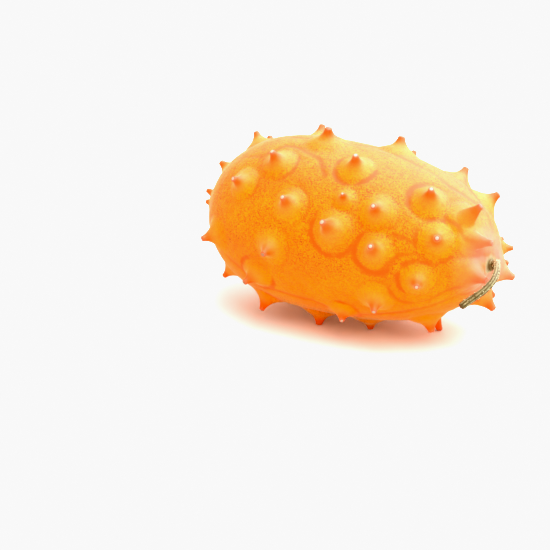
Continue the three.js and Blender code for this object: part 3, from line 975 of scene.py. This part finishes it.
def grow_spikes(bm, sections, layers, draw):
    """The warts along the stalk, and the fuzz on its collar."""
    for along, section, outward in spots_on(sections, draw, *WARTS):
        root = section.place + outward * section.radius * WART_ROOT
        lean = (outward + section.tangent * WART_LEAN).normalized()
        add_spike(bm, layers, root, lean, draw(*WART_LENGTH), draw(*WART_RADIUS), wart=1.0, along=along)
    for _along, section, outward in spots_on(sections, draw, *HAIRS):
        root = section.place + outward * section.radius * HAIR_ROOT
        lean = (outward + section.tangent * draw(*HAIR_LEAN)).normalized()
        add_spike(bm, layers, root, lean, draw(*HAIR_LENGTH), draw(*HAIR_RADIUS), along=HAIR_COLOUR)
    bmesh.ops.recalc_face_normals(bm, faces=bm.faces)


# ---- the stage

FLOOR_RADIUS = 6  # metres
FLOOR_DROP = 0.0001
CAMERA_OFFSET = (-29.93, -17.34)  # mm right and up, which sets the fruit in the upper right of the view

# Directions to the lights, as right, up and towards the camera.
DOME_SIDE = (0.6, 0.7, -0.4)
KEY_SIDE = (0.3, 0.65, 0.65)
SHEEN_SIDE = (0.5, 0.8, 0.15)
DOME_TURN = (-0.2, 0.8)  # where the dome starts to brighten to its bright side, and ends
HORIZON = (-0.05, 0.15)  # where it fades out
KEY_WIDTH = 60  # degrees across
SHEEN_WIDTH = 110
SHEEN_COLOUR = (1.0, 0.8, 1.0)

# The view's contrast: the ends of the curve for all colours, and one more point on each curve.
ALL_COLOURS, RED, BLUE = 3, 0, 2
CURVE_ENDS = [(0.03, 0), (1, 0.94)]
CURVE_POINTS = {ALL_COLOURS: (0.16, 0.09), RED: (0.2, 0.25), BLUE: (0.2, 0.16)}


def view_axes(settings):
    """The camera's directions: right, up and back."""
    turn, tilt = settings.azimuth, settings.elevation
    right = Vector((math.cos(turn), math.sin(turn), 0))
    back = Vector((math.sin(turn) * math.cos(tilt), -math.cos(turn) * math.cos(tilt), math.sin(tilt)))
    return right, back.cross(right), back


def toward(axes, side):
    """The direction to a side, which is given as right, up and towards the camera."""
    right, up, back = axes
    return (right * side[0] + up * side[1] + back * side[2]).normalized()


def build_floor(settings):
    bm = bmesh.new()
    bmesh.ops.create_circle(bm, cap_ends=True, segments=64, radius=FLOOR_RADIUS)
    bmesh.ops.translate(bm, vec=(0, 0, -FLOOR_DROP), verts=bm.verts)
    material, tree, shader, _place = new_material("Pale_Floor")
    set_inputs(tree, shader, Base_Color=linear(settings.floor), Roughness=0.9, Specular_IOR_Level=0.0)
    floor = make_object(bm, "floor", material)
    floor.visible_glossy = False
    return floor


def build_dome(scene, axes, settings):
    """Light from all round, brighter on one side and none from below."""
    world = bpy.data.worlds.new("Soft_Dome")
    world.use_nodes = True
    scene.world = world
    tree = world.node_tree
    place = tree.nodes.new("ShaderNodeTexCoord").outputs["Generated"]
    side = add_node(tree, "ShaderNodeVectorMath", {"operation": "DOT_PRODUCT"})
    for socket, value in zip(side.inputs, (place, toward(axes, DOME_SIDE))):
        feed(tree, socket, value)
    strength = ramp(tree, side.outputs["Value"], *DOME_TURN, settings.dome_shade, settings.dome)
    height = add_node(tree, "ShaderNodeSeparateXYZ", Vector=place).outputs["Z"]
    strength = times(tree, strength, ramp(tree, height, *HORIZON))
    set_inputs(tree, tree.nodes["Background"], Color=(1.0, 1.0, 1.0, 1.0), Strength=strength)


def add_light(scene, name, strength, width, direction, colour=(1.0, 1.0, 1.0)):
    """A far light, its width in degrees. Returns its object."""
    light = bpy.data.lights.new(name, "SUN")
    light.energy, light.angle, light.color = strength, math.radians(width), colour
    lamp = bpy.data.objects.new(name, light)
    lamp.rotation_euler = direction.to_track_quat("Z", "Y").to_euler()
    lamp.location = direction
    scene.collection.objects.link(lamp)
    return lamp


def add_camera(scene, axes, settings):
    right, up, back = axes
    lens = bpy.data.cameras.new("Camera")
    lens.lens = settings.lens
    camera = bpy.data.objects.new("Camera", lens)
    aside, above = CAMERA_OFFSET
    place = Vector(FRUIT_CENTRE) * MM + back * settings.distance + right * aside * MM + up * above * MM
    camera.matrix_world = Matrix.Translation(place) @ Matrix(axes).transposed().to_4x4()
    scene.collection.objects.link(camera)
    scene.camera = camera


def set_contrast(view):
    view.view_transform = "Standard"
    view.use_curve_mapping = True
    mapping = view.curve_mapping
    mapping.extend = "HORIZONTAL"
    for point, place in zip(mapping.curves[ALL_COLOURS].points, CURVE_ENDS):
        point.location = place
    for curve, place in CURVE_POINTS.items():
        mapping.curves[curve].points.new(*place)
    mapping.update()


# ---- settings


def setting(kind, **options):
    """A maker of properties of one kind, from a name, a description and a default."""
    return lambda name, description, default, **limits: kind(
        name=name, description=description, default=default, **options, **limits)


a_length = setting(FloatProperty, subtype="DISTANCE", unit="LENGTH")
an_angle = setting(FloatProperty, subtype="ANGLE", unit="ROTATION")
a_share = setting(FloatProperty, subtype="FACTOR")
a_number = setting(FloatProperty)
a_seed = setting(IntProperty, min=0)
a_colour = setting(FloatVectorProperty, subtype="COLOR_GAMMA", size=3, min=0, max=1)


class MelonFruitSettings(bpy.types.PropertyGroup):
    """Sizes and colours of the fruit"""

    length: a_length("Length", "Length of the bare fruit, without horns", 122 * MM)
    width: a_length("Width", "Width of the bare fruit at its middle", 66 * MM)
    boss_reach: a_share("Boss Reach", "A boss's radius by its horn's size", 1.15, min=0.6, max=1.5)
    boss_height: a_share("Boss Height", "A boss's height by its horn's size", 0.25, min=0, max=0.6)
    horn_foot: a_share("Horn Foot", "A horn's radius at its widest", 0.85, min=0.4, max=0.95)
    horn_tip: a_share("Horn Tip", "A horn's radius at its tip", 0.16, min=0.05, max=0.25)
    fill_seed: a_seed("Fill Seed", "Seed of the horns that no row places", FILL_SEED)
    yellow: a_colour("Yellow", "Ground colour where the skin is golden", (1.0, 0.59, 0.01))
    orange: a_colour("Orange", "Ground colour where it is deeper", (1.0, 0.48, 0.0))
    specks: a_colour("Specks", "Fine crooked specks in the skin", (0.72, 0.35, 0.05))
    rings: a_colour("Rings", "Rings round the bosses, and veins", (1.0, 0.37, 0.01))
    horns: a_colour("Horns", "The horns' sides", (1.0, 0.39, 0.06))
    stem_horns: a_colour("Stem Horns", "The horns' sides near the stem end", (1.0, 0.45, 0.27))
    tips: a_colour("Tips", "The horns' tips", (0.9, 0.44, 0.32))
    rims: a_colour("Rims", "The rim round each scar", (0.62, 0.27, 0.16))
    scars: a_colour("Scars", "The scar on a tip where it is pearly", (0.72, 0.67, 0.6))
    dull_scars: a_colour("Dull Scars", "The scar on a tip where it is dull", (0.66, 0.4, 0.28))
    flush: a_colour("Flush", "The flush round the stalk", (1.0, 0.56, 0.48))
    # Painted highlight: the pink tint mixed in on the upper part of each boss.
    highlight_tint: a_colour("Highlight_Tint", "The blush on the bosses", (1.0, 0.52, 0.36))
    pale: a_colour("Pale Patch", "The patch round the collar", (0.74, 0.68, 0.54))


class MelonStalkSettings(bpy.types.PropertyGroup):
    """Colours of the stalk"""

    seed: a_seed("Seed", "Seed of the warts and the fuzz", 7)
    furrows: a_colour("Furrows", "Between the ridges", (0.4, 0.38, 0.27))
    ridges: a_colour("Ridges", "The tops of the ridges", (0.64, 0.62, 0.48))
    # This colour is also the painted highlight along the stalk's arch.
    warts_and_highlight: a_colour("Warts", "Pale warts along the stalk", (0.93, 0.89, 0.74))
    pits: a_colour("Pits", "Fine dark specks along the stalk", (0.3, 0.27, 0.18))
    fuzz: a_colour("Fuzz", "The fuzzy collar", (0.56, 0.53, 0.4))
    cut: a_colour("Cut", "The cut end", (0.4, 0.29, 0.2))


class MelonStageSettings(bpy.types.PropertyGroup):
    """The floor, the lights and the camera"""

    floor: a_colour("Floor", "Colour of the floor", (0.975, 0.975, 0.975))
    dome: a_number("Dome", "Strength of the bright side of the light all round", 1.65, min=0)
    dome_shade: a_number("Dome Shade", "Strength of its dark side", 1.15, min=0)
    key: a_number("Key", "Strength of the wide light from above and the right", 2.9, min=0)
    sheen: a_number("Sheen", "Strength of the wide light that only gloss shows", 13.5, min=0)
    azimuth: an_angle("Azimuth", "The camera's place round the fruit", math.radians(33.5))
    elevation: an_angle("Elevation", "The camera's height as an angle", math.radians(20))
    distance: a_length("Distance", "From the camera to the fruit's middle", 800 * MM)
    lens: a_number("Lens", "The camera's focal length in millimetres", 137.2, min=10)


# ---- operators


class MELON_OT_fruit(bpy.types.Operator):
    """Builds the fruit's skin with its bosses and horns"""

    bl_idname = "melon.fruit"
    bl_label = "Build Fruit"

    def execute(self, context):
        settings = context.scene.melon_fruit
        bm, readings = shape_fruit(Form(settings))
        fruit = finish_piece(bm, "fruit_skin", rind_material(settings), readings)
        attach(fruit, "root")
        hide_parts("fruit")
        return {"FINISHED"}


class MELON_OT_stalk(bpy.types.Operator):
    """Builds the bent stalk with its collar, warts and cut end"""

    bl_idname = "melon.stalk"
    bl_label = "Build Stalk"

    def execute(self, context):
        settings = context.scene.melon_stalk
        bm, sections, layers = shape_stalk()
        sink_pith(bm, sections[-1].place, layers)
        grow_spikes(bm, sections, layers, Draw(settings.seed))
        stalk = finish_piece(bm, "dry_stalk", stalk_material(settings), {})
        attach(stalk, "root")
        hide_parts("stalk")
        return {"FINISHED"}


class MELON_OT_stage(bpy.types.Operator):
    """Builds the floor, the lights and the camera"""

    bl_idname = "melon.stage"
    bl_label = "Build Stage"

    def execute(self, context):
        scene, settings = context.scene, context.scene.melon_stage
        axes = view_axes(settings)
        floor = build_floor(settings)
        build_dome(scene, axes, settings)
        # The key lights everything but gloss, and the sheen only gloss.
        key = add_light(scene, "Key", settings.key, KEY_WIDTH, toward(axes, KEY_SIDE))
        key.visible_glossy = False
        sheen = add_light(scene, "Sheen", settings.sheen, SHEEN_WIDTH, toward(axes, SHEEN_SIDE),
                          SHEEN_COLOUR)
        sheen.visible_diffuse = False
        add_camera(scene, axes, settings)
        set_contrast(scene.view_settings)
        return {"FINISHED"}


class MELON_PT_sidebar(bpy.types.Panel):
    """The melon's settings and the buttons that build it"""

    bl_idname = "MELON_PT_sidebar"
    bl_label = "Horned Melon"
    bl_space_type = "VIEW_3D"
    bl_region_type = "UI"
    bl_category = "Horned Melon"

    def draw(self, context):
        scene = context.scene
        for operator, settings in (("melon.stage", scene.melon_stage), ("melon.fruit", scene.melon_fruit),
                                   ("melon.stalk", scene.melon_stalk)):
            box = self.layout.box()
            for name in settings.__annotations__:
                box.prop(settings, name)
            box.operator(operator)


CLASSES = (
    MelonFruitSettings,
    MelonStalkSettings,
    MelonStageSettings,
    MELON_OT_fruit,
    MELON_OT_stalk,
    MELON_OT_stage,
    MELON_PT_sidebar,
)


def register():
    for cls in CLASSES:
        bpy.utils.register_class(cls)
    bpy.types.Scene.melon_fruit = PointerProperty(type=MelonFruitSettings)
    bpy.types.Scene.melon_stalk = PointerProperty(type=MelonStalkSettings)
    bpy.types.Scene.melon_stage = PointerProperty(type=MelonStageSettings)


def unregister():
    del bpy.types.Scene.melon_fruit, bpy.types.Scene.melon_stalk, bpy.types.Scene.melon_stage
    for cls in reversed(CLASSES):
        bpy.utils.unregister_class(cls)


def main():
    register()
    bpy.ops.melon.stage()
    bpy.ops.melon.fruit()
    bpy.ops.melon.stalk()


if __name__ == "__main__":
    main()
